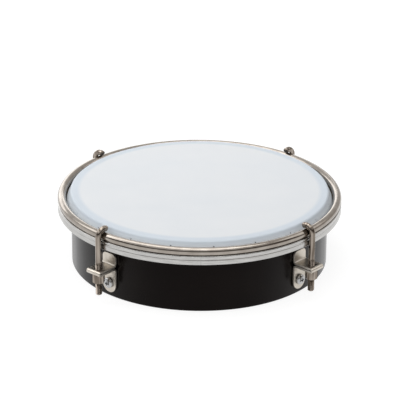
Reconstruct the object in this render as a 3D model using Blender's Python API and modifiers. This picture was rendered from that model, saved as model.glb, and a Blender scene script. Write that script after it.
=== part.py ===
"""Tamborim: a six inch frame drum with a plastic shell, a film head and four hooked tension rods.

Units are metres and +Z is up. The origin is the centre of the shell's lower rim, on which the drum
stands. The lugs sit on the diagonals, and -Y is the front. Where two pieces rest on each other they
keep SEAT_GAP between them.
"""

import math

import bmesh
import bpy
from mathutils import Matrix

MM = 0.001

# Clearances
SEAT_GAP = 0.3 * MM
HOOK_HOLE_CLEARANCE = 0.4 * MM
NUT_BORE_CLEARANCE = 0.2 * MM
SCREW_HOLE_CLEARANCE = 0.25 * MM

# Shell: a straight tube with a rounded bearing edge on top
SHELL_RADIUS = 76.2 * MM
SHELL_WALL = 6.0 * MM
SHELL_HEIGHT = 43.4 * MM
BEARING_ROUND = 2.0 * MM
BEARING_CHAMFER = 1.2 * MM
RIM_ROUND = 1.0 * MM

# Head: a film held by resin in an aluminium channel, the flesh hoop
FILM_THICKNESS = 0.3 * MM
COLLAR_DEPTH = 6.0 * MM
COLLAR_BEND = 0.9 * MM
FLESH_CLEARANCE = 1.2 * MM
FLESH_WIDTH = 6.8 * MM
FLESH_HEIGHT = 5.3 * MM
FLESH_WALL = 1.0 * MM
FLESH_ROUND = 0.45 * MM
RESIN_RECESS = 0.8 * MM

# Counter hoop: a round steel rod bent into a ring, which presses the head down
HOOP_ROD_RADIUS = 2.5 * MM

# Tension hooks: wire with a rolled thread on the lower end
HOOK_WIRE_RADIUS = 1.75 * MM
HOOK_BEND_ANGLE = 115.0
THREAD_RADIUS = 1.95 * MM
THREAD_LENGTH = 19.5 * MM
THREAD_TAIL = 7.7 * MM
THREAD_CHAMFER = 0.45 * MM

# Tuning nuts. Like the small ones inside, their corners are chamfered down to a circle on each face,
# whose width is this share of the width across the flats
NUT_ACROSS_FLATS = 6.35 * MM
NUT_HEIGHT = 5.5 * MM
NUT_FACE_SHARE = 0.97
NUT_CHAMFER_ANGLE = 30.0

# Lug brackets: one bent strip each, with an upper tab, a doubled ear and a lower tab
STRIP_WIDTH = 10.0 * MM
STRIP_THICKNESS = 1.2 * MM
STRIP_BEND = 0.6 * MM
UPPER_TAB_HEIGHT = 6.7 * MM
UPPER_TAB_ROUND = 2.6 * MM
EAR_HEIGHT = 21.3 * MM
EAR_LAYER_GAP = 0.4 * MM
EAR_OVERHANG = 4.8 * MM
LOWER_TAB_HEIGHT = 15.0 * MM

# Bracket screws, washers and nuts
SCREW_ABOVE_TAB_END = 6.0 * MM
SCREW_RADIUS = 1.5 * MM
SCREW_TAIL = 0.6 * MM
SCREW_HEAD_RADIUS = 3.1 * MM
SCREW_HEAD_HEIGHT = 2.2 * MM
SCREW_HEAD_RIM = 0.7 * MM
RECESS_REACH = 1.7 * MM
RECESS_WIDTH = 0.8 * MM
RECESS_DEPTH = 1.2 * MM
WASHER_RADIUS = 3.5 * MM
WASHER_THICKNESS = 0.5 * MM
SCREW_NUT_ACROSS_FLATS = 5.5 * MM
SCREW_NUT_HEIGHT = 2.4 * MM

# Facets round a full turn
RING_FACETS = 64
ROD_FACETS = 12
FASTENER_FACETS = 16
CHAMFER_FACETS = 24

# Points closer than this are welded, and edges that turn by more than this many degrees are shaded sharp
WELD_DISTANCE = 0.001 * MM
SHARP_ANGLE = 35.0

# Each lug's name and its angle from +X, in degrees
LUGS = {"front_right": -45.0, "back_right": 45.0, "back_left": 135.0, "front_left": 225.0}

# Sizes worked out from those above
SHELL_INNER_RADIUS = SHELL_RADIUS - SHELL_WALL
HEAD_TOP = SHELL_HEIGHT + SEAT_GAP + FILM_THICKNESS
FLESH_TOP = HEAD_TOP - COLLAR_DEPTH
FLESH_BOTTOM = FLESH_TOP - FLESH_HEIGHT
FLESH_INNER_RADIUS = SHELL_RADIUS + FLESH_CLEARANCE
FLESH_RADIUS = FLESH_INNER_RADIUS + FLESH_WIDTH
FILM_SKIRT_RADIUS = FLESH_INNER_RADIUS + FLESH_WALL + SEAT_GAP + FILM_THICKNESS
RESIN_TOP = FLESH_TOP - RESIN_RECESS
HOOP_RADIUS = FLESH_RADIUS - HOOP_ROD_RADIUS
HOOP_HEIGHT = RESIN_TOP + SEAT_GAP + HOOP_ROD_RADIUS
HOOK_RADIUS = FLESH_RADIUS + SEAT_GAP + HOOK_WIRE_RADIUS
EAR_THICKNESS = 2 * STRIP_THICKNESS + EAR_LAYER_GAP
NUT_TOP = EAR_HEIGHT - EAR_THICKNESS - SEAT_GAP
HOOK_END_HEIGHT = NUT_TOP - NUT_HEIGHT - THREAD_TAIL
STRIP_BACK = SHELL_RADIUS + SEAT_GAP
STRIP_FACE = STRIP_BACK + STRIP_THICKNESS
TAB_END_HEIGHT = EAR_HEIGHT - EAR_THICKNESS - LOWER_TAB_HEIGHT
SCREW_HEIGHT = TAB_END_HEIGHT + SCREW_ABOVE_TAB_END
SCREW_SEAT = STRIP_FACE + SEAT_GAP
WASHER_SEAT = math.sqrt(SHELL_INNER_RADIUS**2 - WASHER_RADIUS**2) - SEAT_GAP
SCREW_NUT_SEAT = WASHER_SEAT - WASHER_THICKNESS - SEAT_GAP
SCREW_LENGTH = SCREW_SEAT - SCREW_NUT_SEAT + SCREW_NUT_HEIGHT + SCREW_TAIL


def clear_scene():
    for existing in list(bpy.data.objects):
        bpy.data.objects.remove(existing)


def new_collection(name):
    collection = bpy.data.collections.new(name)
    bpy.context.scene.collection.children.link(collection)
    return collection


def new_material(name, colour, roughness, metallic):
    material = bpy.data.materials.new(name)
    material.use_nodes = True
    shader = material.node_tree.nodes["Principled BSDF"]
    shader.inputs["Base Color"].default_value = (*colour, 1.0)
    shader.inputs["Roughness"].default_value = roughness
    shader.inputs["Metallic"].default_value = metallic
    return material


def arc(centre, radius, start, end, steps):
    """Points on a circle round a centre, from one angle to another in degrees, both ends included."""
    angles = [math.radians(start + (end - start) * i / steps) for i in range(steps + 1)]
    return [(centre[0] + radius * math.cos(a), centre[1] + radius * math.sin(a)) for a in angles]


def blank(name, data):
    """A shape to work on, or to cut with, kept apart from the drum's own pieces."""
    made = bpy.data.objects.new(name, data)
    bpy.data.collections["cutters"].objects.link(made)
    return made


def turned(outline, facets, closed=True):
    """An outline of (radius, height) points, turned round Z with a Screw modifier."""
    mesh = bpy.data.meshes.new("outline")
    last = len(outline) if closed else len(outline) - 1
    edges = [(i, (i + 1) % len(outline)) for i in range(last)]
    mesh.from_pydata([(radius, 0, height) for radius, height in outline], edges, [])
    made = blank("turned", mesh)
    screw = made.modifiers.new("turn", "SCREW")
    screw.steps = facets
    screw.render_steps = facets
    screw.use_merge_vertices = True
    screw.merge_threshold = WELD_DISTANCE
    return made


def tube(radius, inner_radius, bottom, top, facets):
    """A plain ring with a square section."""
    outline = [(radius, top), (radius, bottom), (inner_radius, bottom), (inner_radius, top)]
    return turned(outline, facets)


def cylinder(radius, length, centre, axis="Z", facets=FASTENER_FACETS):
    """A closed cylinder, prism or, with 6 facets, hexagon along Z or X."""
    mesh = bpy.data.meshes.new("cylinder")
    made = bmesh.new()
    turn = Matrix.Rotation(math.radians(90), 4, "Y") if axis == "X" else Matrix.Identity(4)
    bmesh.ops.create_cone(
        made,
        cap_ends=True,
        segments=facets,
        radius1=radius,
        radius2=radius,
        depth=length,
        matrix=Matrix.Translation(centre) @ turn,
    )
    made.to_mesh(mesh)
    made.free()
    return blank("cylinder", mesh)


def block(size, centre):
    """A box of the given size."""
    mesh = bpy.data.meshes.new("block")
    made = bmesh.new()
    bmesh.ops.create_cube(made, size=1.0, matrix=Matrix.Translation(centre) @ Matrix.Diagonal((*size, 1.0)))
    made.to_mesh(mesh)
    made.free()
    return blank("block", mesh)


def combine(made, tool, operation):
    """Joins a cutter or another body to a piece with an exact Boolean."""
    tool.hide_render = True
    tool.display_type = "WIRE"
    boolean = made.modifiers.new(operation.lower(), "BOOLEAN")
    boolean.operation = operation
    boolean.object = tool
    return tool


def finished_mesh(made, name, tools=()):
    """The evaluated mesh of a piece, shaded smooth between sharp edges. The blank and its tools are removed."""
    bpy.context.view_layer.update()
    evaluated = made.evaluated_get(bpy.context.evaluated_depsgraph_get())
    mesh = bpy.data.meshes.new_from_object(evaluated)
    mesh.name = name
    mesh.shade_smooth()
    mesh.set_sharp_from_angle(angle=math.radians(SHARP_ANGLE))
    for used in (made, *tools):
        bpy.data.objects.remove(used)
    return mesh


def place(collection, name, mesh, material, parent=None, location=(0, 0, 0)):
    """Puts a finished mesh in the drum's collection as one named piece."""
    made = bpy.data.objects.new(name, mesh)
    collection.objects.link(made)
    if not mesh.materials:
        mesh.materials.append(material)
    made.parent = parent
    made.location = location
    return made


def shell_mesh():
    """The tube, with one screw hole through the wall at each lug."""
    crest = SHELL_HEIGHT
    outline = [(SHELL_INNER_RADIUS + BEARING_CHAMFER, crest)]
    outline += arc((SHELL_RADIUS - BEARING_ROUND, crest - BEARING_ROUND), BEARING_ROUND, 90, 0, 4)
    outline += arc((SHELL_RADIUS - RIM_ROUND, RIM_ROUND), RIM_ROUND, 0, -90, 2)
    outline += arc((SHELL_INNER_RADIUS + RIM_ROUND, RIM_ROUND), RIM_ROUND, -90, -180, 2)
    outline += [(SHELL_INNER_RADIUS, crest - BEARING_CHAMFER)]
    made = turned(outline, RING_FACETS)
    drills = []
    for angle in LUGS.values():
        middle = (SHELL_RADIUS - SHELL_WALL / 2, 0, SCREW_HEIGHT)
        drill = cylinder(SCREW_RADIUS + SCREW_HOLE_CLEARANCE, 2 * SHELL_WALL, middle, "X")
        drill.rotation_euler.z = math.radians(angle)
        drills.append(combine(made, drill, "DIFFERENCE"))
    return finished_mesh(made, "shell", drills)


def film_outline():
    """The film's outer face: flat, round over the bearing edge, down the collar and into the channel."""
    crest = (SHELL_RADIUS - BEARING_ROUND, SHELL_HEIGHT - BEARING_ROUND)
    crest_radius = BEARING_ROUND + SEAT_GAP + FILM_THICKNESS
    bend = (FILM_SKIRT_RADIUS - COLLAR_BEND, FLESH_TOP)
    across = math.hypot(bend[0] - crest[0], bend[1] - crest[1])
    slope = math.atan2(bend[1] - crest[1], bend[0] - crest[0])
    leave = math.degrees(slope + math.acos((crest_radius - COLLAR_BEND) / across))
    outline = [(0, HEAD_TOP)]
    outline += arc(crest, crest_radius, 90, leave, 4)
    outline += arc(bend, COLLAR_BEND, leave, 0, 2)
    outline += [(FILM_SKIRT_RADIUS, FLESH_BOTTOM + FLESH_WALL + SEAT_GAP)]
    return outline


def film_mesh():
    made = turned(film_outline(), RING_FACETS, closed=False)
    thicken = made.modifiers.new("thickness", "SOLIDIFY")
    thicken.thickness = FILM_THICKNESS
    thicken.offset = -1.0
    thicken.use_even_offset = True
    return finished_mesh(made, "head_film")


def flesh_hoop_mesh():
    """The channel: two walls and a floor, open upwards, with its outer corners rounded."""
    outer = FLESH_RADIUS
    inner = FLESH_INNER_RADIUS
    edge = FLESH_ROUND
    outline = [(outer - FLESH_WALL, FLESH_TOP)]
    outline += arc((outer - edge, FLESH_TOP - edge), edge, 90, 0, 2)
    outline += arc((outer - edge, FLESH_BOTTOM + edge), edge, 0, -90, 2)
    outline += [(inner, FLESH_BOTTOM), (inner, FLESH_TOP), (inner + FLESH_WALL, FLESH_TOP)]
    outline += [(inner + FLESH_WALL, FLESH_BOTTOM + FLESH_WALL)]
    outline += [(outer - FLESH_WALL, FLESH_BOTTOM + FLESH_WALL)]
    return finished_mesh(turned(outline, RING_FACETS), "flesh_hoop")


def resin_mesh():
    """The resin that locks the film in the channel."""
    inner = FILM_SKIRT_RADIUS + SEAT_GAP
    outer = FLESH_RADIUS - FLESH_WALL - SEAT_GAP
    bottom = FLESH_BOTTOM + FLESH_WALL + SEAT_GAP
    return finished_mesh(tube(outer, inner, bottom, RESIN_TOP, RING_FACETS), "head_resin")


def counter_hoop_mesh():
    bpy.ops.mesh.primitive_torus_add(
        major_radius=HOOP_RADIUS,
        minor_radius=HOOP_ROD_RADIUS,
        major_segments=RING_FACETS,
        minor_segments=ROD_FACETS,
        location=(0, 0, HOOP_HEIGHT),
    )
    made = bpy.context.object
    bpy.ops.object.transform_apply(location=True)
    return finished_mesh(made, "counter_hoop")


def hook_mesh():
    """A hook along Z, whose origin is on its own axis: thread, shank and the bend over the hoop."""
    thread_top = HOOK_END_HEIGHT + THREAD_LENGTH
    end = HOOK_END_HEIGHT
    stations = [
        (0, end, THREAD_RADIUS - THREAD_CHAMFER),
        (0, end + THREAD_CHAMFER, THREAD_RADIUS),
        (0, thread_top, THREAD_RADIUS),
        (0, thread_top + THREAD_CHAMFER, HOOK_WIRE_RADIUS),
    ]
    bend_radius = HOOK_RADIUS - HOOP_RADIUS
    for x, z in arc((-bend_radius, HOOP_HEIGHT), bend_radius, 0, HOOK_BEND_ANGLE, 8):
        stations.append((x, z, HOOK_WIRE_RADIUS))
    curve = bpy.data.curves.new("hook", "CURVE")
    curve.dimensions = "3D"
    curve.twist_mode = "MINIMUM"
    curve.bevel_depth = 1.0
    curve.bevel_resolution = (ROD_FACETS - 4) // 2
    curve.use_fill_caps = True
    spline = curve.splines.new("POLY")
    spline.points.add(len(stations) - 1)
    for point, (x, z, radius) in zip(spline.points, stations):
        point.co = (x, 0, z, 1)
        point.radius = radius
    mesh = finished_mesh(blank("hook", curve), "tension_hook")
    welded = bmesh.new()
    welded.from_mesh(mesh)
    bmesh.ops.remove_doubles(welded, verts=welded.verts, dist=WELD_DISTANCE)
    welded.to_mesh(mesh)
    welded.free()
    return mesh


def hex_nut(across_flats, height, bore_radius):
    """A hexagon nut on Z, centred on the origin, with both faces chamfered to a circle."""
    corner = across_flats / 2 / math.cos(math.radians(180 / 6))
    face = across_flats / 2 * NUT_FACE_SHARE
    drop = (corner - face) * math.tan(math.radians(NUT_CHAMFER_ANGLE))
    outline = [(0, height / 2), (face, height / 2), (corner, height / 2 - drop)]
    outline += [(corner, drop - height / 2), (face, -height / 2), (0, -height / 2)]
    made = cylinder(corner, height, (0, 0, 0), facets=6)
    chamfer = combine(made, turned(outline, CHAMFER_FACETS, closed=False), "INTERSECT")
    bore = combine(made, cylinder(bore_radius, 2 * height, (0, 0, 0)), "DIFFERENCE")
    return finished_mesh(made, "hex_nut", (chamfer, bore))


def strip_stations():
    """The bent strip's middle line, from the upper tab's top to the lower tab's end.

    Each station is (distance from the drum's axis, height, half the strip's width).
    """
    middle = STRIP_BACK + STRIP_THICKNESS / 2
    bend = STRIP_BEND + STRIP_THICKNESS / 2
    fold = (EAR_LAYER_GAP + STRIP_THICKNESS) / 2
    upper = EAR_HEIGHT - STRIP_THICKNESS / 2
    lower = upper - 2 * fold
    reach = HOOK_RADIUS + EAR_OVERHANG - STRIP_THICKNESS / 2 - fold
    half = STRIP_WIDTH / 2
    top = EAR_HEIGHT + UPPER_TAB_HEIGHT
    stations = []
    for inset, rise in arc((0, 0), UPPER_TAB_ROUND, 90, 0, 4):
        stations.append((middle, top - UPPER_TAB_ROUND + rise, half - UPPER_TAB_ROUND + inset))
    stations += [(x, z, half) for x, z in arc((middle + bend, upper + bend), bend, 180, 270, 3)]
    stations += [(x, z, half) for x, z in arc((reach, upper - fold), fold, 90, -90, 6)]
    stations += [(x, z, half) for x, z in arc((middle + bend, lower - bend), bend, 90, 180, 3)]
    stations += [(middle, TAB_END_HEIGHT + half + z, x) for x, z in arc((0, 0), half, 0, -90, 7)]
    return stations


def bracket_mesh():
    """The bracket with the hook's hole through the ear and the screw's hole through the lower tab."""
    strip = bmesh.new()
    rows = []
    for x, z, half in strip_stations():
        rows.append([strip.verts.new((x, side * half, z)) for side in (-1, 1)])
    for (a, b), (c, d) in zip(rows, rows[1:]):
        strip.faces.new((a, b, d, c))
    bmesh.ops.remove_doubles(strip, verts=strip.verts, dist=WELD_DISTANCE)
    mesh = bpy.data.meshes.new("strip")
    strip.to_mesh(mesh)
    strip.free()
    made = blank("strip", mesh)
    thicken = made.modifiers.new("thickness", "SOLIDIFY")
    thicken.thickness = STRIP_THICKNESS
    thicken.offset = 0.0
    thicken.use_even_offset = True
    hook_hole = cylinder(
        THREAD_RADIUS + HOOK_HOLE_CLEARANCE, 3 * EAR_THICKNESS, (HOOK_RADIUS, 0, EAR_HEIGHT - EAR_THICKNESS / 2)
    )
    screw_hole = cylinder(
        SCREW_RADIUS + SCREW_HOLE_CLEARANCE, 3 * STRIP_THICKNESS, (STRIP_BACK, 0, SCREW_HEIGHT), "X"
    )
    tools = [combine(made, hook_hole, "DIFFERENCE"), combine(made, screw_hole, "DIFFERENCE")]
    return finished_mesh(made, "lug_bracket", tools)


def screw_mesh():
    """A pan head screw along Z with a cross recess. Its origin is under the head."""
    dome_rise = SCREW_HEAD_HEIGHT - SCREW_HEAD_RIM
    outline = [
        (SCREW_HEAD_RADIUS * math.sin(math.radians(a)), SCREW_HEAD_RIM + dome_rise * math.cos(math.radians(a)))
        for a in range(0, 91, 18)
    ]
    outline += [(SCREW_HEAD_RADIUS, 0), (SCREW_RADIUS, 0), (SCREW_RADIUS, -SCREW_LENGTH), (0, -SCREW_LENGTH)]
    made = turned(outline, FASTENER_FACETS, closed=False)
    middle = (0, 0, SCREW_HEAD_HEIGHT)
    arms = [
        block((2 * RECESS_REACH, RECESS_WIDTH, 2 * RECESS_DEPTH), middle),
        block((RECESS_WIDTH, 2 * RECESS_REACH, 2 * RECESS_DEPTH), middle),
    ]
    for arm in arms:
        combine(made, arm, "DIFFERENCE")
    return finished_mesh(made, "bracket_screw", arms)


def washer_mesh():
    bore = SCREW_RADIUS + SCREW_HOLE_CLEARANCE
    return finished_mesh(tube(WASHER_RADIUS, bore, 0, WASHER_THICKNESS, FASTENER_FACETS), "screw_washer")


def build_head(drum, materials):
    """The pieces that lift off together: film, channel, resin and the counter hoop over them."""
    place(drum, "head_film", film_mesh(), materials["film"])
    place(drum, "flesh_hoop", flesh_hoop_mesh(), materials["aluminium"])
    place(drum, "head_resin", resin_mesh(), materials["resin"])
    place(drum, "counter_hoop", counter_hoop_mesh(), materials["nickel"])


def build_lugs(drum, materials):
    """Four identical lugs: bracket, hook and tuning nut outside, screw, washer and nut through the wall."""
    bracket = bracket_mesh()
    hook = hook_mesh()
    tuning_nut = hex_nut(NUT_ACROSS_FLATS, NUT_HEIGHT, THREAD_RADIUS + NUT_BORE_CLEARANCE)
    screw = screw_mesh()
    washer = washer_mesh()
    screw_nut = hex_nut(SCREW_NUT_ACROSS_FLATS, SCREW_NUT_HEIGHT, SCREW_RADIUS + NUT_BORE_CLEARANCE)
    outwards = math.radians(90)
    for lug, angle in LUGS.items():
        frame = bpy.data.objects.new(f"lug_{lug}", None)
        drum.objects.link(frame)
        frame.rotation_euler.z = math.radians(angle)
        hook_axis = (HOOK_RADIUS, 0, 0)
        nut_place = (HOOK_RADIUS, 0, NUT_TOP - NUT_HEIGHT / 2)
        place(drum, f"lug_bracket_{lug}", bracket, materials["nickel"], frame)
        place(drum, f"tension_hook_{lug}", hook, materials["nickel"], frame, hook_axis)
        place(drum, f"tuning_nut_{lug}", tuning_nut, materials["nickel"], frame, nut_place)
        fasteners = [
            ("bracket_screw", screw, SCREW_SEAT),
            ("screw_washer", washer, WASHER_SEAT - WASHER_THICKNESS),
            ("screw_nut", screw_nut, SCREW_NUT_SEAT - SCREW_NUT_HEIGHT / 2),
        ]
        for kind, mesh, distance in fasteners:
            made = place(drum, f"{kind}_{lug}", mesh, materials["zinc"], frame, (distance, 0, SCREW_HEIGHT))
            made.rotation_euler.y = outwards


def build():
    clear_scene()
    drum = new_collection("tamborim")
    new_collection("cutters").hide_render = True
    materials = {
        "abs": new_material("black_abs", (0.012, 0.011, 0.011), 0.28, 0.0),
        "film": new_material("frosted_film", (0.76, 0.79, 0.82), 0.45, 0.0),
        "aluminium": new_material("rolled_aluminium", (0.80, 0.80, 0.79), 0.32, 1.0),
        "resin": new_material("amber_resin", (0.45, 0.36, 0.22), 0.3, 0.0),
        "nickel": new_material("nickel_plate", (0.66, 0.61, 0.53), 0.16, 1.0),
        "zinc": new_material("zinc_plate", (0.70, 0.72, 0.74), 0.25, 1.0),
    }
    place(drum, "shell", shell_mesh(), materials["abs"])
    build_head(drum, materials)
    build_lugs(drum, materials)


build()
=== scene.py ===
"""The looks of the tamborim: finishes, fine surfaces, floor, light and camera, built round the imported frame.

Units are metres, in the frame's own axes: +Z up, -Y to the front, and the lugs on the diagonals.
"""

import math

import bmesh
import bpy
from mathutils import Matrix, Vector

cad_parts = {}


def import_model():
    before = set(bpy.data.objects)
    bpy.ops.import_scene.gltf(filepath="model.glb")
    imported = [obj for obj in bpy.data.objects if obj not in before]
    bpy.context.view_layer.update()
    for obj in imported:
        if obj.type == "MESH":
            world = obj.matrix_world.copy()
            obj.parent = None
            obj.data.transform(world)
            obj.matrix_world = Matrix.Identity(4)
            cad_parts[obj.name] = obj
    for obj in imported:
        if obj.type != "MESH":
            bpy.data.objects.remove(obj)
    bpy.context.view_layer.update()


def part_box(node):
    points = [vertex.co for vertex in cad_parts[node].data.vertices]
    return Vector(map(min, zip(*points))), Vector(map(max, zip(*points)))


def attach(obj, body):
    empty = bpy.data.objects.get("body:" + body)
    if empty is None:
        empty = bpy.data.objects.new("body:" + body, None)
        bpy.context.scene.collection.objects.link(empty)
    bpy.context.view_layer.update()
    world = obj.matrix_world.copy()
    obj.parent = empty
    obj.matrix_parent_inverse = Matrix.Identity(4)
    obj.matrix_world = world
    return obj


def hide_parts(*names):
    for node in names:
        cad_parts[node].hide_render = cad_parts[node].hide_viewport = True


MM = 0.001
TURN = 2 * math.pi
LUG_ANGLES = {"front_right": -45, "back_right": 45, "back_left": 135, "front_left": 225}

# Camera, as fitted to the photograph, in metres and degrees
FRAME_WIDTH_PX = 400
FOCAL_PX = 2186
SENSOR_WIDTH_MM = 36.0
CAMERA_DISTANCE = 1.3
CAMERA_ELEVATION = 23.21
CAMERA_AZIMUTH = -3.4
CAMERA_ROLL = 0.41
CAMERA_CLIP = (0.05, 50)
TARGET_HEIGHT = 36.48 * MM
TARGET_SIDE = 0.29 * MM

# Floor. Where it is seen, this much glow is added to the lamps' light, to make it white
FLOOR_RADIUS = 8.0
FLOOR_LIFT = 0.86

# World: the strength of its soft light from behind the drum and from the front. Each fade runs over one part
# of a direction of length 1: the greyer wall's from left to right, the dark screens' from back to front, and
# the ones at the screens' feet and tops by height
BACK_GLOW = 0.12
FRONT_GLOW = 1.4
WALL_FADE = (-0.3, 0.9)
SCREEN_FADE = (-0.3, 0.15)
SCREEN_FEET = (0.05, 0.35)
SCREEN_TOPS = (0.68, 0.5)

# Softboxes: width and depth, power in watts, and place
SOFTBOXES = {
    "overhead": (0.95, 1.4, 7.9, (-0.1, 0.1, 1.2)),
    "left": (1.0, 0.8, 4.0, (-1.15, 0.25, 1.0)),
    "right": (1.0, 0.8, 2.0, (1.15, 0.25, 1.0)),
    "back": (1.9, 0.7, 6.2, (-0.5, 1.65, 0.45)),
}

# Sockets of a Mix node: both colours and their mixture, and both numbers
MIX_A, MIX_B, MIX_OUT = 6, 7, 2
MIX_FROM, MIX_TO = 2, 3

# The range that noise seldom leaves
NOISE_LOW, NOISE_HIGH = 0.35, 0.65

# How finely the pieces are drawn. The film's rings stand at these shares of the way out to its edge
RING_STEPS = 288
ROD_STEPS = 32
HOOK_STEPS = 32
SMALL_STEPS = 48
NUT_STEPS = 96
THREAD_ROWS = 10  # to a turn
SHANK_ROWS = 8
BEND_ROWS = 26
SAG_STEPS = 6
FILM_RINGS = (0.0, 0.3, 0.6, 0.9)
FLOOR_STEPS = 64

# Points closer than this are welded, and edges that turn by more than this angle are shaded sharp
WELD = 1e-7
STRIP_WELD = 1e-6
SHARP_ANGLE = 35.0

# Running clearance between pieces that touch in the real drum
SEAT_GAP = 0.3 * MM

# Shell
SHELL_WALL = 6.0 * MM
BEARING_ROUND = 0.8 * MM
BEARING_CHAMFER = 1.2 * MM
RIM_ROUND = 1.0 * MM

# Head. The film's two fades are in its colour: over the shell's edge, and down the collar, where its paler
# colour is painted light. The locking holes are punched through the collar, at a slope, and the resin flows
# through them
FILM_THICKNESS = 0.3 * MM
RING_FADE = 2.5 * MM
COLLAR_LIGHT_FADE = (0.6 * MM, 2.6 * MM)
COLLAR_BEND = 0.9 * MM
CHANNEL_CLEARANCE = 1.2 * MM
CHANNEL_WALL = 1.0 * MM
CHANNEL_EDGE = 0.45 * MM
CHANNEL_GROOVE = 0.16 * MM
GROOVE_ROUND = 1.1 * MM
GROOVE_BELOW_TOP = 1.9 * MM
SEAM_ANGLE = -92.7
SEAM_GAP = 0.1 * MM
RESIN_SAG = 0.12 * MM
LOCK_HOLES = 20
LOCK_HOLE_RADIUS = 0.35 * MM
LOCK_HOLE_HEIGHT = 40.9 * MM
LOCK_HOLE_INSET = 1.75 * MM
LOCK_HOLE_ANGLE = -105.3
LOCK_HOLE_RISE = 0.6
LOCK_DRILL = 6 * MM

# Hook wire and its rolled M4 thread
WIRE_RADIUS = 1.75 * MM
THREAD_RADIUS = 1.95 * MM
THREAD_DEPTH = 0.38 * MM
THREAD_PITCH = 0.7 * MM
THREAD_LENGTH = 19.5 * MM
THREAD_CHAMFER = 0.45 * MM
THREAD_RUNOUT = 0.3 * MM
HOOK_BEND_ANGLE = 115.0
CUT_EDGE = 0.25 * MM

# Nuts
NUT_ACROSS_FLATS = 6.35 * MM
NUT_BORE = 2.1 * MM
NUT_FACE_SHARE = 0.97
NUT_CORNER_SHARE = 1.145
NUT_CHAMFER_ANGLE = 30.0
NUT_SINK = 0.35 * MM

# Bent strip of the lug brackets. Edges that turn by more than EDGE_ANGLE are tumbled round
STRIP_WIDTH = 10.0 * MM
STRIP_THICKNESS = 1.2 * MM
STRIP_BEND = 1.3 * MM
UPPER_TAB_ROUND = 2.6 * MM
UPPER_TAB_HEIGHT = 6.7 * MM
EAR_LAYER_GAP = 0.4 * MM
EAR_OVERHANG = 4.8 * MM
STRIP_EDGE = 0.22 * MM
EDGE_ANGLE = 50
HOOK_HOLE_RADIUS = 2.35 * MM
SCREW_HOLE_RADIUS = 1.75 * MM
EAR_DRILL = 12 * MM
TAB_DRILL = 6 * MM

# Bracket screws with their washers and nuts
SCREW_ABOVE_TAB_END = 6.0 * MM
SCREW_RADIUS = 1.5 * MM
SCREW_PITCH = 0.5 * MM
SCREW_THREAD_DEPTH = 0.27 * MM
SCREW_CHAMFER = 0.3 * MM
SCREW_TAIL = 0.6 * MM
SCREW_HEAD_RADIUS = 3.1 * MM
SCREW_HEAD_HEIGHT = 2.2 * MM
SCREW_HEAD_RIM = 0.7 * MM
SCREW_DOME_END = 89.0  # degrees, just short of the dome's middle
RECESS_REACH = 1.7 * MM
RECESS_WIDTH = 0.8 * MM
RECESS_DEPTH = 1.2 * MM
RECESS_TAPER = 0.55
WASHER_RADIUS = 3.5 * MM
WASHER_THICKNESS = 0.5 * MM
WASHER_EDGE = 0.12 * MM
SCREW_NUT_ACROSS_FLATS = 5.5 * MM
SCREW_NUT_HEIGHT = 2.4 * MM
SCREW_NUT_BORE = 1.65 * MM


def linear(code):
    """An sRGB hex colour, such as "D8CFC2", as linear red, green, blue and alpha."""
    shares = [int(code[i : i + 2], 16) / 255 for i in (0, 2, 4)]
    return [c / 12.92 if c <= 0.04045 else ((c + 0.055) / 1.055) ** 2.4 for c in shares] + [1.0]


def arc(centre, radius, start, end, steps):
    """Points on a circle round a centre, from one angle to another in degrees, both ends included."""
    angles = [math.radians(start + (end - start) * i / steps) for i in range(steps + 1)]
    return [(centre[0] + radius * math.cos(a), centre[1] + radius * math.sin(a)) for a in angles]


# Sizes read from the frame


def shell_sizes():
    """The shell's outer radius and its height."""
    _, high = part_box("shell")
    return high.x, high.z


def channel_sizes():
    """The flesh hoop's inner and outer radius, bottom and top."""
    low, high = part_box("flesh_hoop")
    return shell_sizes()[0] + CHANNEL_CLEARANCE, high.x, low.z, high.z


def hoop_sizes():
    """The counter hoop's centre radius, centre height and rod radius."""
    low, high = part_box("counter_hoop")
    rod = (high.z - low.z) / 2
    return high.x - rod, (high.z + low.z) / 2, rod


def hook_sizes():
    """The hook axis's distance from the drum's axis, and the height of the hook's lower end."""
    low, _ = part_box("tension_hook_front_right")
    return channel_sizes()[1] + SEAT_GAP + WIRE_RADIUS, low.z


def bracket_sizes():
    """The ear's top height, the strip's back face, how far the ear reaches out, and the lower tab's end."""
    low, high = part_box("lug_bracket_front_right")
    reach = hook_sizes()[0] + EAR_OVERHANG
    return high.z - UPPER_TAB_HEIGHT, shell_sizes()[0] + SEAT_GAP, reach, low.z


def screw_height():
    """The height of the bracket screws' axis."""
    _, _, _, tab_end = bracket_sizes()
    return tab_end + SCREW_ABOVE_TAB_END


# Finishes


def add_node(owner, kind, inputs=None, **settings):
    """Adds a shader node, sets it up, and links or sets its inputs by name or number."""
    tree = owner.node_tree
    node = tree.nodes.new(kind)
    for name, value in settings.items():
        setattr(node, name, value)
    for name, value in (inputs or {}).items():
        if isinstance(value, bpy.types.NodeSocket):
            tree.links.new(value, node.inputs[name])
        else:
            node.inputs[name].default_value = linear(value) if isinstance(value, str) else value
    return node


def new_material(name, **values):
    """A material with a Principled shader, whose constant values are set on its own sockets."""
    material = bpy.data.materials.new(name)
    material.use_nodes = True
    shader = material.node_tree.nodes["Principled BSDF"]
    for socket, value in values.items():
        shader.inputs[socket.replace("_", " ")].default_value = value
    return material, shader


def seen_rays(owner):
    """The light path, and a share that is 1 where the camera looks, straight or by way of metal or glass."""
    rays = add_node(owner, "ShaderNodeLightPath").outputs
    seen = rays["Is Camera Ray"]
    for other in ("Is Glossy Ray", "Is Transmission Ray"):
        seen = add_node(owner, "ShaderNodeMath", {0: seen, 1: rays[other]}, operation="ADD").outputs[0]
    return rays, seen


def wire(material, shader, links):
    """Links patterns to the shader's sockets by name."""
    for socket, output in links.items():
        material.node_tree.links.new(output, shader.inputs[socket])


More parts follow.
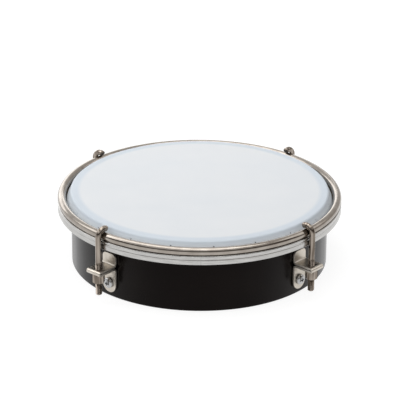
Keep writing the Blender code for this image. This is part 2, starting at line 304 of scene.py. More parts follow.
def wire_finish(material, shader, colour, gloss, relief):
    """Links a finish's mixed colour, its roughness and its fine relief to the shader."""
    wire(material, shader, {"Base Color": colour.outputs[MIX_OUT], "Roughness": gloss.outputs[0]})
    wire(material, shader, {"Normal": relief.outputs[0]})


def clouds(material, width, detail=3.0):
    """Soft blotches about this many metres wide, as a share from 0 to 1."""
    drum = add_node(material, "ShaderNodeTexCoord").outputs["Object"]
    noise = add_node(material, "ShaderNodeTexNoise", {"Vector": drum, "Scale": 1 / width, "Detail": detail})
    stretch = {"Value": noise.outputs["Fac"], "From Min": NOISE_LOW, "From Max": NOISE_HIGH}
    return add_node(material, "ShaderNodeMapRange", stretch).outputs[0]


def streaks_up(material, across, along):
    """Streaks of one width and one length up the piece, as a share from 0 to 1."""
    drum = add_node(material, "ShaderNodeTexCoord").outputs["Object"]
    scale = (1 / across, 1 / across, 1 / along)
    vector = add_node(material, "ShaderNodeVectorMath", {0: drum, 1: scale}, operation="MULTIPLY").outputs[0]
    noise = add_node(material, "ShaderNodeTexNoise", {"Vector": vector, "Scale": 1.0, "Detail": 2.0})
    stretch = {"Value": noise.outputs["Fac"], "From Min": NOISE_LOW, "From Max": NOISE_HIGH}
    return add_node(material, "ShaderNodeMapRange", stretch).outputs[0]


def distance_from_axis(material):
    """How far a point of the surface is from the drum's axis."""
    drum = add_node(material, "ShaderNodeTexCoord").outputs["Object"]
    flat = add_node(material, "ShaderNodeVectorMath", {0: drum, 1: (1, 1, 0)}, operation="MULTIPLY")
    length = add_node(material, "ShaderNodeVectorMath", {0: flat.outputs[0]}, operation="LENGTH")
    return length.outputs["Value"]


def drawn_lines(material, along, across, detail=3.0):
    """Streaks of one length round the drum, and one width up it and out from its axis, from 0 to 1."""
    drum = add_node(material, "ShaderNodeTexCoord").outputs["Object"]
    x, y, z = add_node(material, "ShaderNodeSeparateXYZ", {0: drum}).outputs
    out = distance_from_axis(material)
    angle = add_node(material, "ShaderNodeMath", {0: y, 1: x}, operation="ARCTAN2").outputs[0]
    scale = shell_sizes()[0] / along
    run = add_node(material, "ShaderNodeMath", {0: angle, 1: scale}, operation="MULTIPLY").outputs[0]
    rise = add_node(material, "ShaderNodeMath", {0: z, 1: across}, operation="DIVIDE").outputs[0]
    depth = add_node(material, "ShaderNodeMath", {0: out, 1: across}, operation="DIVIDE").outputs[0]
    vector = add_node(material, "ShaderNodeCombineXYZ", {0: run, 1: rise, 2: depth}).outputs[0]
    noise = add_node(material, "ShaderNodeTexNoise", {"Vector": vector, "Scale": 1.0, "Detail": detail})
    stretch = {"Value": noise.outputs["Fac"], "From Min": NOISE_LOW, "From Max": NOISE_HIGH}
    return add_node(material, "ShaderNodeMapRange", stretch).outputs[0]


def extruded_black_abs():
    """ABS tube, extruded and cut to length: near black and semi-gloss. The die leaves faint broad bands up
    the wall, 9 mm wide here, which are coarser than the real ones so that they show."""
    material, shader = new_material("extruded_black_abs", IOR=1.53, Specular_IOR_Level=0.3)
    shader.inputs["Specular Tint"].default_value = (0.2, 0.165, 0.155, 1.0)
    bands = drawn_lines(material, along=9 * MM, across=90 * MM, detail=1.0)
    cloud = clouds(material, width=20 * MM)
    shades = {0: cloud, MIX_A: "0A0808", MIX_B: "110E0D"}
    colour = add_node(material, "ShaderNodeMix", shades, data_type="RGBA")
    gloss = add_node(material, "ShaderNodeMapRange", {"Value": bands, "To Min": 0.2, "To Max": 0.26})
    waves = add_node(material, "ShaderNodeBump", {"Height": bands, "Distance": 0.004 * MM})
    wire_finish(material, shader, colour, gloss, waves)
    return material


def frosted_polyester():
    """Polyester film, coated matt: milky white in the middle, bluish where the black shell's edge is close
    behind it, and paler down the collar, by the bright channel, as painted light for the light that reaches
    the collar through the film and from the front. Its tooth is drawn at 0.4 mm, which is coarser than the
    real one so that it shows."""
    material, shader = new_material("frosted_polyester_film", IOR=1.6, Specular_IOR_Level=0.3)
    radius, crest = shell_sizes()
    inner = radius - SHELL_WALL
    drum = add_node(material, "ShaderNodeTexCoord").outputs["Object"]
    height = add_node(material, "ShaderNodeSeparateXYZ", {0: drum}).outputs[2]
    edge = {"Value": distance_from_axis(material), "From Min": inner, "From Max": inner + RING_FADE}
    over_edge = add_node(material, "ShaderNodeMapRange", edge).outputs[0]
    start, end = COLLAR_LIGHT_FADE
    drop = {"Value": height, "From Min": crest - start, "From Max": crest - end}
    collar_painted_light = add_node(material, "ShaderNodeMapRange", drop).outputs[0]
    cloud = clouds(material, width=45 * MM, detail=2.0)
    shades = {0: cloud, MIX_A: "DFE3E7", MIX_B: "E4E7EA"}
    middle = add_node(material, "ShaderNodeMix", shades, data_type="RGBA")
    shades = {0: over_edge, MIX_A: middle.outputs[MIX_OUT], MIX_B: "D1DAE3"}
    ring = add_node(material, "ShaderNodeMix", shades, data_type="RGBA")
    # Paler down the collar: painted light
    shades = {0: collar_painted_light, MIX_A: ring.outputs[MIX_OUT], MIX_B: "E8F0F7"}
    colour = add_node(material, "ShaderNodeMix", shades, data_type="RGBA")
    gloss = add_node(material, "ShaderNodeMapRange", {"Value": cloud, "To Min": 0.42, "To Max": 0.5})
    tooth = clouds(material, width=0.4 * MM, detail=2.0)
    matt = add_node(material, "ShaderNodeBump", {"Height": tooth, "Distance": 0.002 * MM})
    wire_finish(material, shader, colour, gloss, matt)
    return material


def polished_nickel():
    """Steel rod, rolled to a ring, polished and nickel plated: warm, clear reflections. Its colour is darker
    than nickel's, as a painted dark reflection of the darker surroundings that the real rod mirrors.
    """
    material, shader = new_material("polished_nickel_on_rod", Metallic=1.0)
    cloud = clouds(material, width=6 * MM, detail=4.0)
    # Darker than nickel: a painted dark reflection
    shades = {0: cloud, MIX_A: "958D85", MIX_B: "A59E96"}
    colour = add_node(material, "ShaderNodeMix", shades, data_type="RGBA")
    handled = clouds(material, width=1.5 * MM, detail=4.0)
    gloss = add_node(material, "ShaderNodeMapRange", {"Value": handled, "To Min": 0.1, "To Max": 0.18})
    ripple = clouds(material, width=0.8 * MM, detail=2.0)
    uneven = add_node(material, "ShaderNodeBump", {"Height": ripple, "Distance": 0.0006 * MM})
    wire_finish(material, shader, colour, gloss, uneven)
    return material


def drawn_nickel():
    """Steel wire and hexagon bar, nickel plated as drawn, with streaks along it from the die, 1.2 mm wide
    here, which are coarser than the real ones so that they show. Its colour, darker than the rod's in parts,
    is partly these streaks and partly a painted dark reflection of the darker surroundings that the real hooks
    and nuts mirror."""
    material, shader = new_material("nickel_on_drawn_wire", Metallic=1.0)
    streaks = streaks_up(material, across=1.2 * MM, along=25 * MM)
    # Darker than the rod's: partly die streaks, partly a painted dark reflection
    shades = {0: streaks, MIX_A: "5A5046", MIX_B: "A99F95"}
    colour = add_node(material, "ShaderNodeMix", shades, data_type="RGBA")
    gloss = add_node(material, "ShaderNodeMapRange", {"Value": streaks, "To Min": 0.2, "To Max": 0.13})
    ripple = clouds(material, width=0.8 * MM, detail=2.0)
    uneven = add_node(material, "ShaderNodeBump", {"Height": ripple, "Distance": 0.0006 * MM})
    wire_finish(material, shader, colour, gloss, uneven)
    return material


def tumbled_nickel():
    """Stamped steel strip, tumbled before it was nickel plated: pale, warm and satin, slightly mottled."""
    material, shader = new_material("tumbled_nickel_on_strip", Metallic=1.0)
    cloud = clouds(material, width=4 * MM, detail=4.0)
    shades = {0: cloud, MIX_A: "BFB8AD", MIX_B: "CDC6BC"}
    colour = add_node(material, "ShaderNodeMix", shades, data_type="RGBA")
    peened = clouds(material, width=0.7 * MM)
    gloss = add_node(material, "ShaderNodeMapRange", {"Value": peened, "To Min": 0.32, "To Max": 0.4})
    dents = add_node(material, "ShaderNodeBump", {"Height": peened, "Distance": 0.003 * MM})
    wire_finish(material, shader, colour, gloss, dents)
    return material


def satin_aluminium():
    """Aluminium strip, rolled into a channel: pale grey satin, with streaks along the rim from the rolls."""
    material, shader = new_material("rolled_satin_aluminium", Metallic=1.0)
    streaks = drawn_lines(material, along=6 * MM, across=0.3 * MM)
    cloud = clouds(material, width=8 * MM, detail=4.0)
    shades = {0: streaks, MIX_A: "ABAAA8", MIX_B: "C2C1BF"}
    colour = add_node(material, "ShaderNodeMix", shades, data_type="RGBA")
    gloss = add_node(material, "ShaderNodeMapRange", {"Value": cloud, "To Min": 0.16, "To Max": 0.26})
    lines = add_node(material, "ShaderNodeBump", {"Height": streaks, "Distance": 0.003 * MM})
    wire_finish(material, shader, colour, gloss, lines)
    return material


def blue_zinc():
    """Steel screws and nuts, zinc plated and passivated: silver with a trace of blue, slightly mottled."""
    material, shader = new_material("blue_zinc_on_steel", Metallic=1.0)
    cloud = clouds(material, width=1.2 * MM, detail=4.0)
    shades = {0: cloud, MIX_A: "A6A7A8", MIX_B: "C2C2C2"}
    colour = add_node(material, "ShaderNodeMix", shades, data_type="RGBA")
    gloss = add_node(material, "ShaderNodeMapRange", {"Value": cloud, "To Min": 0.2, "To Max": 0.34})
    grit = clouds(material, width=0.3 * MM, detail=2.0)
    matt = add_node(material, "ShaderNodeBump", {"Height": grit, "Distance": 0.001 * MM})
    wire_finish(material, shader, colour, gloss, matt)
    return material


def cast_resin():
    """Polyester resin, poured into the channel: dull amber, glossy where it flowed level."""
    material, shader = new_material("cast_amber_resin", IOR=1.55, Roughness=0.15)
    cloud = clouds(material, width=3 * MM)
    shades = {0: cloud, MIX_A: "6B6152", MIX_B: "857A68"}
    colour = add_node(material, "ShaderNodeMix", shades, data_type="RGBA")
    flow = add_node(material, "ShaderNodeBump", {"Height": cloud, "Distance": 0.03 * MM})
    wire(material, shader, {"Base Color": colour.outputs[MIX_OUT], "Normal": flow.outputs[0]})
    return material


# Mesh helpers


def mesh_from(vertices, faces):
    """A mesh of points and faces."""
    mesh = bpy.data.meshes.new("mesh")
    mesh.from_pydata(vertices, [], faces)
    return mesh


def mesh_of(shaped, name):
    """The mesh of a bmesh, which is freed."""
    mesh = bpy.data.meshes.new(name)
    shaped.to_mesh(mesh)
    shaped.free()
    return mesh


def grid_mesh(rows, wrap_rows=False, caps=False):
    """A skin over closed rings of points. The rings can close into a circle, or the ends can be capped."""
    count = len(rows[0])
    faces = []
    for i in range(len(rows) if wrap_rows else len(rows) - 1):
        below = i * count
        above = (i + 1) % len(rows) * count
        for j in range(count):
            k = (j + 1) % count
            faces.append((below + j, below + k, above + k, above + j))
    if caps:
        faces.append(tuple(reversed(range(count))))
        faces.append(tuple(range((len(rows) - 1) * count, len(rows) * count)))
    return mesh_from([point for row in rows for point in row], faces)


def clean(mesh):
    """Welds points that lie on each other and turns the faces outwards."""
    shaped = bmesh.new()
    shaped.from_mesh(mesh)
    bmesh.ops.remove_doubles(shaped, verts=shaped.verts, dist=WELD)
    bmesh.ops.recalc_face_normals(shaped, faces=shaped.faces)
    shaped.to_mesh(mesh)
    shaped.free()
    return mesh


def lathe_mesh(outline, steps=RING_STEPS, start=0.0, sweep=TURN):
    """A closed outline of (radius, height) points turned round Z. Less than a full turn gets flat ends."""
    whole = sweep == TURN
    rows = []
    for i in range(steps if whole else steps + 1):
        a = start + sweep * i / steps
        rows.append([(r * math.cos(a), r * math.sin(a), z) for r, z in outline])
    return clean(grid_mesh(rows, wrap_rows=whole, caps=not whole))


def add_object(name, data):
    """Puts a mesh, light or camera in the scene."""
    made = bpy.data.objects.new(name, data)
    bpy.context.scene.collection.objects.link(made)
    return made


def take_mesh(made, tools):
    """The mesh of an object with its modifiers applied. The object and its tools are removed."""
    bpy.context.view_layer.update()
    evaluated = made.evaluated_get(bpy.context.evaluated_depsgraph_get())
    mesh = bpy.data.meshes.new_from_object(evaluated)
    for used in (made, *tools):
        bpy.data.objects.remove(used)
    return mesh


def cut_with(made, tools):
    """Lets the tools cut an object, by a modifier each."""
    for tool in tools:
        boolean = made.modifiers.new("cut", "BOOLEAN")
        boolean.operation = "DIFFERENCE"
        boolean.object = tool


def cut(mesh, tools):
    """The mesh with the tools cut out of it."""
    made = add_object("blank", mesh)
    cut_with(made, tools)
    return take_mesh(made, tools)


def drill(radius, length, centre, direction):
    """A cylinder to cut with, along a direction."""
    turn = Vector((0, 0, 1)).rotation_difference(Vector(direction)).to_matrix().to_4x4()
    shaped = bmesh.new()
    bmesh.ops.create_cone(
        shaped,
        cap_ends=True,
        segments=SMALL_STEPS,
        radius1=radius,
        radius2=radius,
        depth=length,
        matrix=Matrix.Translation(centre) @ turn,
    )
    return add_object("drill", mesh_of(shaped, "drill"))


def outwards(angle):
    """The level direction away from the drum's axis at an angle in degrees."""
    return Vector((math.cos(math.radians(angle)), math.sin(math.radians(angle)), 0))


def add_piece(name, mesh, material, body, node):
    """Puts a finished mesh in the scene. It rides on a body, and stands in place of a node."""
    mesh.shade_smooth()
    mesh.set_sharp_from_angle(angle=math.radians(SHARP_ANGLE))
    mesh.materials.clear()
    mesh.materials.append(material)
    piece = add_object(name, mesh)
    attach(piece, body)
    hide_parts(node)


# Shell and head


def make_shell(material):
    """The tube, with its rounded bearing edge and the four screw holes."""
    radius, crest = shell_sizes()
    inner = radius - SHELL_WALL
    outline = [(inner + BEARING_CHAMFER, crest)]
    outline += arc((radius - BEARING_ROUND, crest - BEARING_ROUND), BEARING_ROUND, 90, 0, steps=10)
    outline += arc((radius - RIM_ROUND, RIM_ROUND), RIM_ROUND, 0, -90, steps=6)
    outline += arc((inner + RIM_ROUND, RIM_ROUND), RIM_ROUND, -90, -180, steps=6)
    outline += [(inner, crest - BEARING_CHAMFER)]
    tools = []
    for angle in LUG_ANGLES.values():
        out = outwards(angle)
        middle = out * (radius - SHELL_WALL / 2) + Vector((0, 0, screw_height()))
        tools.append(drill(SCREW_HOLE_RADIUS, 2 * SHELL_WALL, middle, out))
    mesh = cut(lathe_mesh(outline), tools)
    add_piece("shell_tube", mesh, material, "shell_and_lugs", "shell")


def film_side(inset, skirt, bend_height, foot):
    """One face of the film, from the middle over the bearing edge and down the collar."""
    radius, crest_height = shell_sizes()
    crest = (radius - BEARING_ROUND, crest_height - BEARING_ROUND)
    crest_radius = BEARING_ROUND + SEAT_GAP + FILM_THICKNESS
    bend = (skirt - COLLAR_BEND, bend_height)
    across = math.hypot(bend[0] - crest[0], bend[1] - crest[1])
    slope = math.atan2(bend[1] - crest[1], bend[0] - crest[0])
    leave = math.degrees(slope + math.acos((crest_radius - COLLAR_BEND) / across))
    points = [(share * crest[0], crest[1] + crest_radius - inset) for share in FILM_RINGS]
    points += arc(crest, crest_radius - inset, 90, leave, steps=12)
    points += arc(bend, COLLAR_BEND - inset, leave, 0, steps=8)
    return points + [(skirt - inset, foot)]


def make_film(material):
    """The film, with the locking holes punched round its collar."""
    inner, _, bottom, top = channel_sizes()
    skirt = inner + CHANNEL_WALL + SEAT_GAP + FILM_THICKNESS
    foot = bottom + CHANNEL_WALL + SEAT_GAP
    outline = film_side(0.0, skirt, top, foot) + film_side(FILM_THICKNESS, skirt, top, foot)[::-1]
    tools = []
    for i in range(LOCK_HOLES):
        out = outwards(LOCK_HOLE_ANGLE + 360 * i / LOCK_HOLES)
        middle = out * (skirt - LOCK_HOLE_INSET) + Vector((0, 0, LOCK_HOLE_HEIGHT))
        tools.append(drill(LOCK_HOLE_RADIUS, LOCK_DRILL, middle, out + Vector((0, 0, LOCK_HOLE_RISE))))
    mesh = cut(lathe_mesh(outline), tools)
    add_piece("film_head", mesh, material, "head", "head_film")


def make_flesh_hoop(material):
    """The channel, with the shallow groove that its rollers leave round it, and its butt seam."""
    inner, outer, bottom, top = channel_sizes()
    edge = CHANNEL_EDGE
    wall = CHANNEL_WALL
    outline = [(outer - wall, top)]
    outline += arc((outer - edge, top - edge), edge, 90, 0, steps=8)
    groove = (outer + GROOVE_ROUND - CHANNEL_GROOVE, top - GROOVE_BELOW_TOP)
    half = math.degrees(math.acos(1 - CHANNEL_GROOVE / GROOVE_ROUND))
    outline += arc(groove, GROOVE_ROUND, 180 - half, 180 + half, steps=10)
    outline += arc((outer - edge, bottom + edge), edge, 0, -90, steps=6)
    outline += arc((inner + edge, bottom + edge), edge, -90, -180, steps=4)
    outline += [(inner, top), (inner + wall, top), (inner + wall, bottom + wall)]
    outline += [(outer - wall, bottom + wall)]
    half_gap = SEAM_GAP / 2 / outer
    mesh = lathe_mesh(outline, RING_STEPS, math.radians(SEAM_ANGLE) + half_gap, TURN - 2 * half_gap)
    add_piece("flesh_hoop_channel", mesh, material, "head", "flesh_hoop")


def make_resin(material):
    """The resin, whose surface sags between the film and the channel's wall."""
    low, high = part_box("head_resin")
    outer = high.x
    inner = channel_sizes()[0] + CHANNEL_WALL + 2 * SEAT_GAP + FILM_THICKNESS
    outline = [(outer, high.z), (outer, low.z), (inner, low.z), (inner, high.z)]
    for i in range(1, SAG_STEPS):
        sag = RESIN_SAG * math.sin(math.pi * i / SAG_STEPS)
        outline.append((inner + (outer - inner) * i / SAG_STEPS, high.z - sag))
    add_piece("resin_lock", lathe_mesh(outline), material, "head", "head_resin")


def make_counter_hoop(material):
    """The round rod, bent into a ring and ground smooth over its weld."""
    centre, height, rod = hoop_sizes()
    outline = arc((centre, height), rod, 0, 360, ROD_STEPS)[:-1]
    mesh = lathe_mesh(outline)
    add_piece("counter_hoop_rod", mesh, material, "counter_hoop", "counter_hoop")


# Lugs, made at angle 0 with X outwards, and then turned to their places


def threaded_ring(place, tangent, radius, steps, thread=None):
    """A ring of points round a path in the X-Z plane. thread gives (turns, depth) of a screw thread there."""
    ring = []
    for j in range(steps):
        a = TURN * j / steps
        r = radius
        if thread:
            phase = (thread[0] - j / steps) % 1.0
            r -= thread[1] * (1 - abs(2 * phase - 1))
        across = r * math.cos(a)
        ring.append((place[0] + across * tangent[1], r * math.sin(a), place[1] - across * tangent[0]))
    return ring


def thread_rows(x, start, length, pitch, radius, depth, chamfer, steps):
    """Rings of a screw thread that runs up Z from start, and fades in and out over one turn at its ends."""
    rows = []
    count = round(length / pitch * THREAD_ROWS)
    for i in range(count + 1):
        run = length * i / count
        fade = min(1.0, run / pitch, (length - run) / pitch)
        crest = min(radius, radius - chamfer + run)
        rows.append(threaded_ring((x, start + run), (0, 1), crest, steps, (run / pitch, depth * fade)))
    return rows


def hook_mesh():
    """Wire with a rolled thread below, a straight shank, and a bend over the hoop's rod to a sheared end."""
    axis, end = hook_sizes()
    centre, height, _ = hoop_sizes()
    bend = axis - centre
    steps = HOOK_STEPS
    thread = (THREAD_LENGTH, THREAD_PITCH, THREAD_RADIUS, THREAD_DEPTH, THREAD_CHAMFER)
    rows = thread_rows(axis, end, *thread, steps)
    shank = end + THREAD_LENGTH + THREAD_RUNOUT
    for i in range(SHANK_ROWS + 1):
        z = shank + (height - shank) * i / SHANK_ROWS
        rows.append(threaded_ring((axis, z), (0, 1), WIRE_RADIUS, steps))
    for i in range(1, BEND_ROWS + 1):
        a = math.radians(HOOK_BEND_ANGLE) * i / BEND_ROWS
        place = (centre + bend * math.cos(a), height + bend * math.sin(a))
        tangent = (-math.sin(a), math.cos(a))
        radius = WIRE_RADIUS - CUT_EDGE if i == BEND_ROWS else WIRE_RADIUS
        rows.append(threaded_ring(place, tangent, radius, steps))
    return clean(grid_mesh(rows, caps=True))


def hex_nut_mesh(across_flats, low, high, bore):
    """A hexagon nut on Z, its corners chamfered on both faces and its bore countersunk."""
    half = (high - low) / 2
    middle = (high + low) / 2
    flat = across_flats / 2
    face = flat * NUT_FACE_SHARE
    sector = TURN / 6
    rows = []
    for i in range(NUT_STEPS):
        a = TURN * i / NUT_STEPS
        from_flat = (a + sector / 2) % sector - sector / 2
        wall = min(flat / math.cos(from_flat), flat * NUT_CORNER_SHARE)
        drop = (wall - face) * math.tan(math.radians(NUT_CHAMFER_ANGLE))
        side = [(bore, half - NUT_SINK), (bore + NUT_SINK, half), (face, half), (wall, half - drop)]
        side += [(r, -z) for r, z in reversed(side)]
        rows.append([(r * math.cos(a), r * math.sin(a), middle + z) for r, z in side])
    return clean(grid_mesh(rows, wrap_rows=True))


def strip_stations():
    """The bent strip's middle line, from the upper tab's top to the lower tab's end: (x, z, half width)."""
    ear, back, reach, tab_end = bracket_sizes()
    middle = back + STRIP_THICKNESS / 2
    bend = STRIP_BEND + STRIP_THICKNESS / 2
    fold = (EAR_LAYER_GAP + STRIP_THICKNESS) / 2
    upper = ear - STRIP_THICKNESS / 2
    lower = upper - 2 * fold
    nose = reach - STRIP_THICKNESS / 2 - fold
    half = STRIP_WIDTH / 2
    top = ear + UPPER_TAB_HEIGHT
    stations = []
    for inset, rise in arc((0, 0), UPPER_TAB_ROUND, 90, 0, steps=10):
        stations.append((middle, top - UPPER_TAB_ROUND + rise, half - UPPER_TAB_ROUND + inset))
    stations += [(x, z, half) for x, z in arc((middle + bend, upper + bend), bend, 180, 270, steps=8)]
    stations += [(x, z, half) for x, z in arc((nose, upper - fold), fold, 90, -90, steps=14)]
    stations += [(x, z, half) for x, z in arc((middle + bend, lower - bend), bend, 90, 180, steps=8)]
    stations += [(middle, tab_end + half + z, x) for x, z in arc((0, 0), half, 0, -90, steps=16)]
    return stations


def bracket_mesh():
    """One strip, bent into two tabs and a doubled ear, drilled, and tumbled to round its sheared edges."""
    shaped = bmesh.new()
    rows = []
    for x, z, half in strip_stations():
        rows.append([shaped.verts.new((x, side * half, z)) for side in (-1, 1)])
    for (a, b), (c, d) in zip(rows, rows[1:]):
        shaped.faces.new((a, b, d, c))
    bmesh.ops.remove_doubles(shaped, verts=shaped.verts, dist=STRIP_WELD)
    strip = add_object("strip", mesh_of(shaped, "strip"))
    thicken = strip.modifiers.new("thickness", "SOLIDIFY")
    thicken.thickness = STRIP_THICKNESS
    thicken.offset = 0.0
    thicken.use_even_offset = True
    ear, back, _, _ = bracket_sizes()
    tools = [
        drill(HOOK_HOLE_RADIUS, EAR_DRILL, (hook_sizes()[0], 0, ear), (0, 0, 1)),
        drill(SCREW_HOLE_RADIUS, TAB_DRILL, (back, 0, screw_height()), (1, 0, 0)),
    ]
    cut_with(strip, tools)
    tumble = strip.modifiers.new("tumbled edges", "BEVEL")
    tumble.width = STRIP_EDGE
    tumble.segments = 3
    tumble.limit_method = "ANGLE"
    tumble.angle_limit = math.radians(EDGE_ANGLE)
    return take_mesh(strip, tools)


def recess_arm(along_x):
    """One arm of the cross recess, which tapers towards its bottom."""
    corners = []
    bottom = (RECESS_TAPER, SCREW_HEAD_HEIGHT - RECESS_DEPTH)
    mouth = (1.0, SCREW_HEAD_HEIGHT + RECESS_DEPTH)
    for share, z in (bottom, mouth):
        reach = RECESS_REACH * share
        half = RECESS_WIDTH / 2 * (1 + share) / 2
        x, y = (reach, half) if along_x else (half, reach)
        corners += [(-x, -y, z), (x, -y, z), (x, y, z), (-x, y, z)]
    faces = [(3, 2, 1, 0), (4, 5, 6, 7)] + [(i, (i + 1) % 4, (i + 1) % 4 + 4, i + 4) for i in range(4)]
    return add_object("recess arm", clean(mesh_from(corners, faces)))


def turn_outwards(mesh, distance):
    """Lays a mesh made along Z on the radial line through a bracket's screw hole."""
    lay = Matrix.Rotation(math.radians(90), 4, "Y")
    mesh.transform(Matrix.Translation((distance, 0, screw_height())) @ lay)
    return mesh


def screw_mesh(length):
    """A pan head screw along Z with a rolled thread and a cross recess. Its origin is under the head."""
    steps = SMALL_STEPS
    thread = (length, SCREW_PITCH, SCREW_RADIUS, SCREW_THREAD_DEPTH, SCREW_CHAMFER)
    rows = thread_rows(0, -length, *thread, steps)
    rows.append(threaded_ring((0, 0), (0, 1), SCREW_HEAD_RADIUS, steps))
    dome = SCREW_HEAD_HEIGHT - SCREW_HEAD_RIM
    for r, z in arc((0, 0), 1.0, 0, SCREW_DOME_END, steps=10):
        height = SCREW_HEAD_RIM + dome * z
        rows.append(threaded_ring((0, height), (0, 1), SCREW_HEAD_RADIUS * r, steps))
    return cut(clean(grid_mesh(rows, caps=True)), [recess_arm(along_x=True), recess_arm(along_x=False)])


def screw_parts():
    """The bracket's screw, washer and nut."""
    radius, _ = shell_sizes()
    seat = radius + SEAT_GAP + STRIP_THICKNESS + SEAT_GAP
    washer_seat = math.sqrt((radius - SHELL_WALL) ** 2 - WASHER_RADIUS**2) - SEAT_GAP
    nut_seat = washer_seat - WASHER_THICKNESS - SEAT_GAP
    screw = screw_mesh(seat - nut_seat + SCREW_NUT_HEIGHT + SCREW_TAIL)
    edge = WASHER_EDGE
    outline = [(SCREW_HOLE_RADIUS, 0), (WASHER_RADIUS - edge, 0)]
    outline += [(WASHER_RADIUS, edge), (WASHER_RADIUS, WASHER_THICKNESS - edge)]
    outline += [(WASHER_RADIUS - edge, WASHER_THICKNESS), (SCREW_HOLE_RADIUS, WASHER_THICKNESS)]
    washer = lathe_mesh(outline, SMALL_STEPS)
    nut = hex_nut_mesh(SCREW_NUT_ACROSS_FLATS, -SCREW_NUT_HEIGHT / 2, SCREW_NUT_HEIGHT / 2, SCREW_NUT_BORE)
    return {
        "bracket_screw": turn_outwards(screw, seat),
        "screw_washer": turn_outwards(washer, washer_seat - WASHER_THICKNESS),
        "screw_nut": turn_outwards(nut, nut_seat - SCREW_NUT_HEIGHT / 2),
    }


def make_lugs(drawn, tumbled, zinc):
    """The hook, nut, bracket and screw of each lug."""
    low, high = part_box("tuning_nut_front_right")
    nut = hex_nut_mesh(NUT_ACROSS_FLATS, low.z, high.z, NUT_BORE)
    nut.transform(Matrix.Translation((hook_sizes()[0], 0, 0)))
    groups = (
        ({"lug_bracket": bracket_mesh()}, tumbled, "nickel_plate"),
        ({"tension_hook": hook_mesh(), "tuning_nut": nut}, drawn, "nickel_plate"),
        (screw_parts(), zinc, "zinc_plate"),
    )
    bodies = {"tension_hook": "hook", "tuning_nut": "nut"}
    for lug, angle in LUG_ANGLES.items():
        turn = Matrix.Rotation(math.radians(angle), 4, "Z")
        for meshes, material, slot in groups:
            for kind, mesh in meshes.items():
                body = f"{bodies[kind]}_{lug}" if kind in bodies else "shell_and_lugs"
                turned = mesh.copy()
                turned.transform(turn)
                add_piece(f"{kind}_made_{lug}", turned, material, body, f"{kind}_{lug}")


# Stage


def make_camera():
    """The camera that was fitted to the photograph."""
    elevation = math.radians(CAMERA_ELEVATION)
    azimuth = math.radians(CAMERA_AZIMUTH)
    roll = math.radians(CAMERA_ROLL)
    right = Vector((math.cos(azimuth), math.sin(azimuth), 0))
    ahead = Vector((-math.sin(azimuth), math.cos(azimuth), 0))
    forward = ahead * math.cos(elevation) - Vector((0, 0, math.sin(elevation)))
    up = right.cross(forward)
    target = right * TARGET_SIDE + Vector((0, 0, TARGET_HEIGHT))
    side = right * math.cos(roll) + up * math.sin(roll)
    top = up * math.cos(roll) - right * math.sin(roll)
    data = bpy.data.cameras.new("camera")
    data.sensor_width = SENSOR_WIDTH_MM
    data.lens = SENSOR_WIDTH_MM * FOCAL_PX / FRAME_WIDTH_PX
    data.clip_start, data.clip_end = CAMERA_CLIP
    camera = add_object("camera", data)
    turn = Matrix((side, top, -forward)).transposed().to_4x4()
    camera.matrix_world = Matrix.Translation(target - forward * CAMERA_DISTANCE) @ turn
    bpy.context.scene.camera = camera


def add_softbox(name, width, depth, power, place):
    """A soft light that points at the drum."""
    data = bpy.data.lights.new(name, "AREA")
    data.shape = "RECTANGLE"
    data.size = width
    data.size_y = depth
    data.energy = power
    softbox = add_object(name, data)
    softbox.location = place
    softbox.rotation_mode = "QUATERNION"
    softbox.rotation_quaternion = (Vector((0, 0, TARGET_HEIGHT)) - Vector(place)).to_track_quat("-Z", "Y")


def make_floor():
    """A pale paper floor. What is seen of it, also in metal, is lifted to white, and it keeps its shadows."""
    shaped = bmesh.new()
    bmesh.ops.create_circle(shaped, cap_ends=True, segments=FLOOR_STEPS, radius=FLOOR_RADIUS)
    mesh = mesh_of(shaped, "floor")
    material, shader = new_material("matt_white_paper", Roughness=1.0, Specular_IOR_Level=0.0)
    shader.inputs["Base Color"].default_value = linear("8C8C8C")
    shader.inputs["Emission Color"].default_value = linear("FFFFFF")
    _, seen = seen_rays(material)
    lift = add_node(material, "ShaderNodeMath", {0: seen, 1: FLOOR_LIFT}, operation="MULTIPLY")
    wire(material, shader, {"Emission Strength": lift.outputs[0]})
    mesh.materials.append(material)
    add_object("floor", mesh)


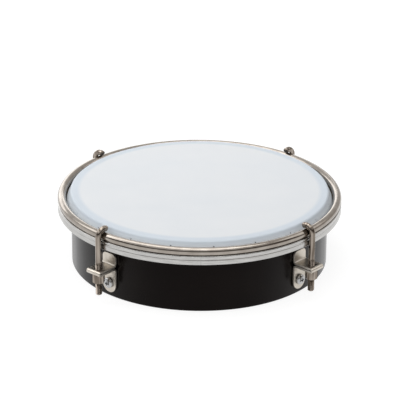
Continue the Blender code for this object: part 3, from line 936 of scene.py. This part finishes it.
def make_world():
    """A pale studio, brightest on the left. The metal also reflects dark screens, which stand round the sides
    and the front and leave its highlights clear."""
    world = bpy.data.worlds.new("studio")
    bpy.context.scene.world = world
    world.use_nodes = True
    way = add_node(world, "ShaderNodeTexCoord").outputs["Generated"]
    across, _, up = add_node(world, "ShaderNodeSeparateXYZ", {0: way}).outputs
    front = {0: way, 1: outwards(CAMERA_AZIMUTH - 90)}
    facing = add_node(world, "ShaderNodeVectorMath", front, operation="DOT_PRODUCT").outputs["Value"]
    fades = []
    for value, (start, end) in (
        (across, WALL_FADE),
        (facing, SCREEN_FADE),
        (up, SCREEN_FEET),
        (up, SCREEN_TOPS),
    ):
        limits = {"Value": value, "From Min": start, "From Max": end}
        fades.append(add_node(world, "ShaderNodeMapRange", limits).outputs[0])
    right, screens, feet, tops = fades
    rays, seen = seen_rays(world)
    for share in (feet, tops, rays["Is Glossy Ray"]):
        screens = add_node(world, "ShaderNodeMath", {0: screens, 1: share}, operation="MULTIPLY").outputs[0]
    shades = {0: right, MIX_A: "F6F6F6", MIX_B: "C4C0BC"}
    walls = add_node(world, "ShaderNodeMix", shades, data_type="RGBA")
    shades = {0: screens, MIX_A: walls.outputs[MIX_OUT], MIX_B: "3C3026"}
    colour = add_node(world, "ShaderNodeMix", shades, data_type="RGBA")
    glow = add_node(world, "ShaderNodeMapRange", {"Value": facing, "To Min": BACK_GLOW, "To Max": FRONT_GLOW})
    strength = add_node(world, "ShaderNodeMix", {0: seen, MIX_FROM: glow.outputs[0], MIX_TO: 1.0})
    links = {"Color": colour.outputs[MIX_OUT], "Strength": strength.outputs[0]}
    wire(world, world.node_tree.nodes["Background"], links)


def build():
    """Builds the whole scene."""
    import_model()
    make_shell(extruded_black_abs())
    make_film(frosted_polyester())
    make_flesh_hoop(satin_aluminium())
    make_resin(cast_resin())
    make_counter_hoop(polished_nickel())
    make_lugs(drawn_nickel(), tumbled_nickel(), blue_zinc())
    make_floor()
    make_world()
    for name, (width, depth, power, place) in SOFTBOXES.items():
        add_softbox(name, width, depth, power, place)
    make_camera()
    bpy.context.scene.view_settings.view_transform = "Standard"


build()
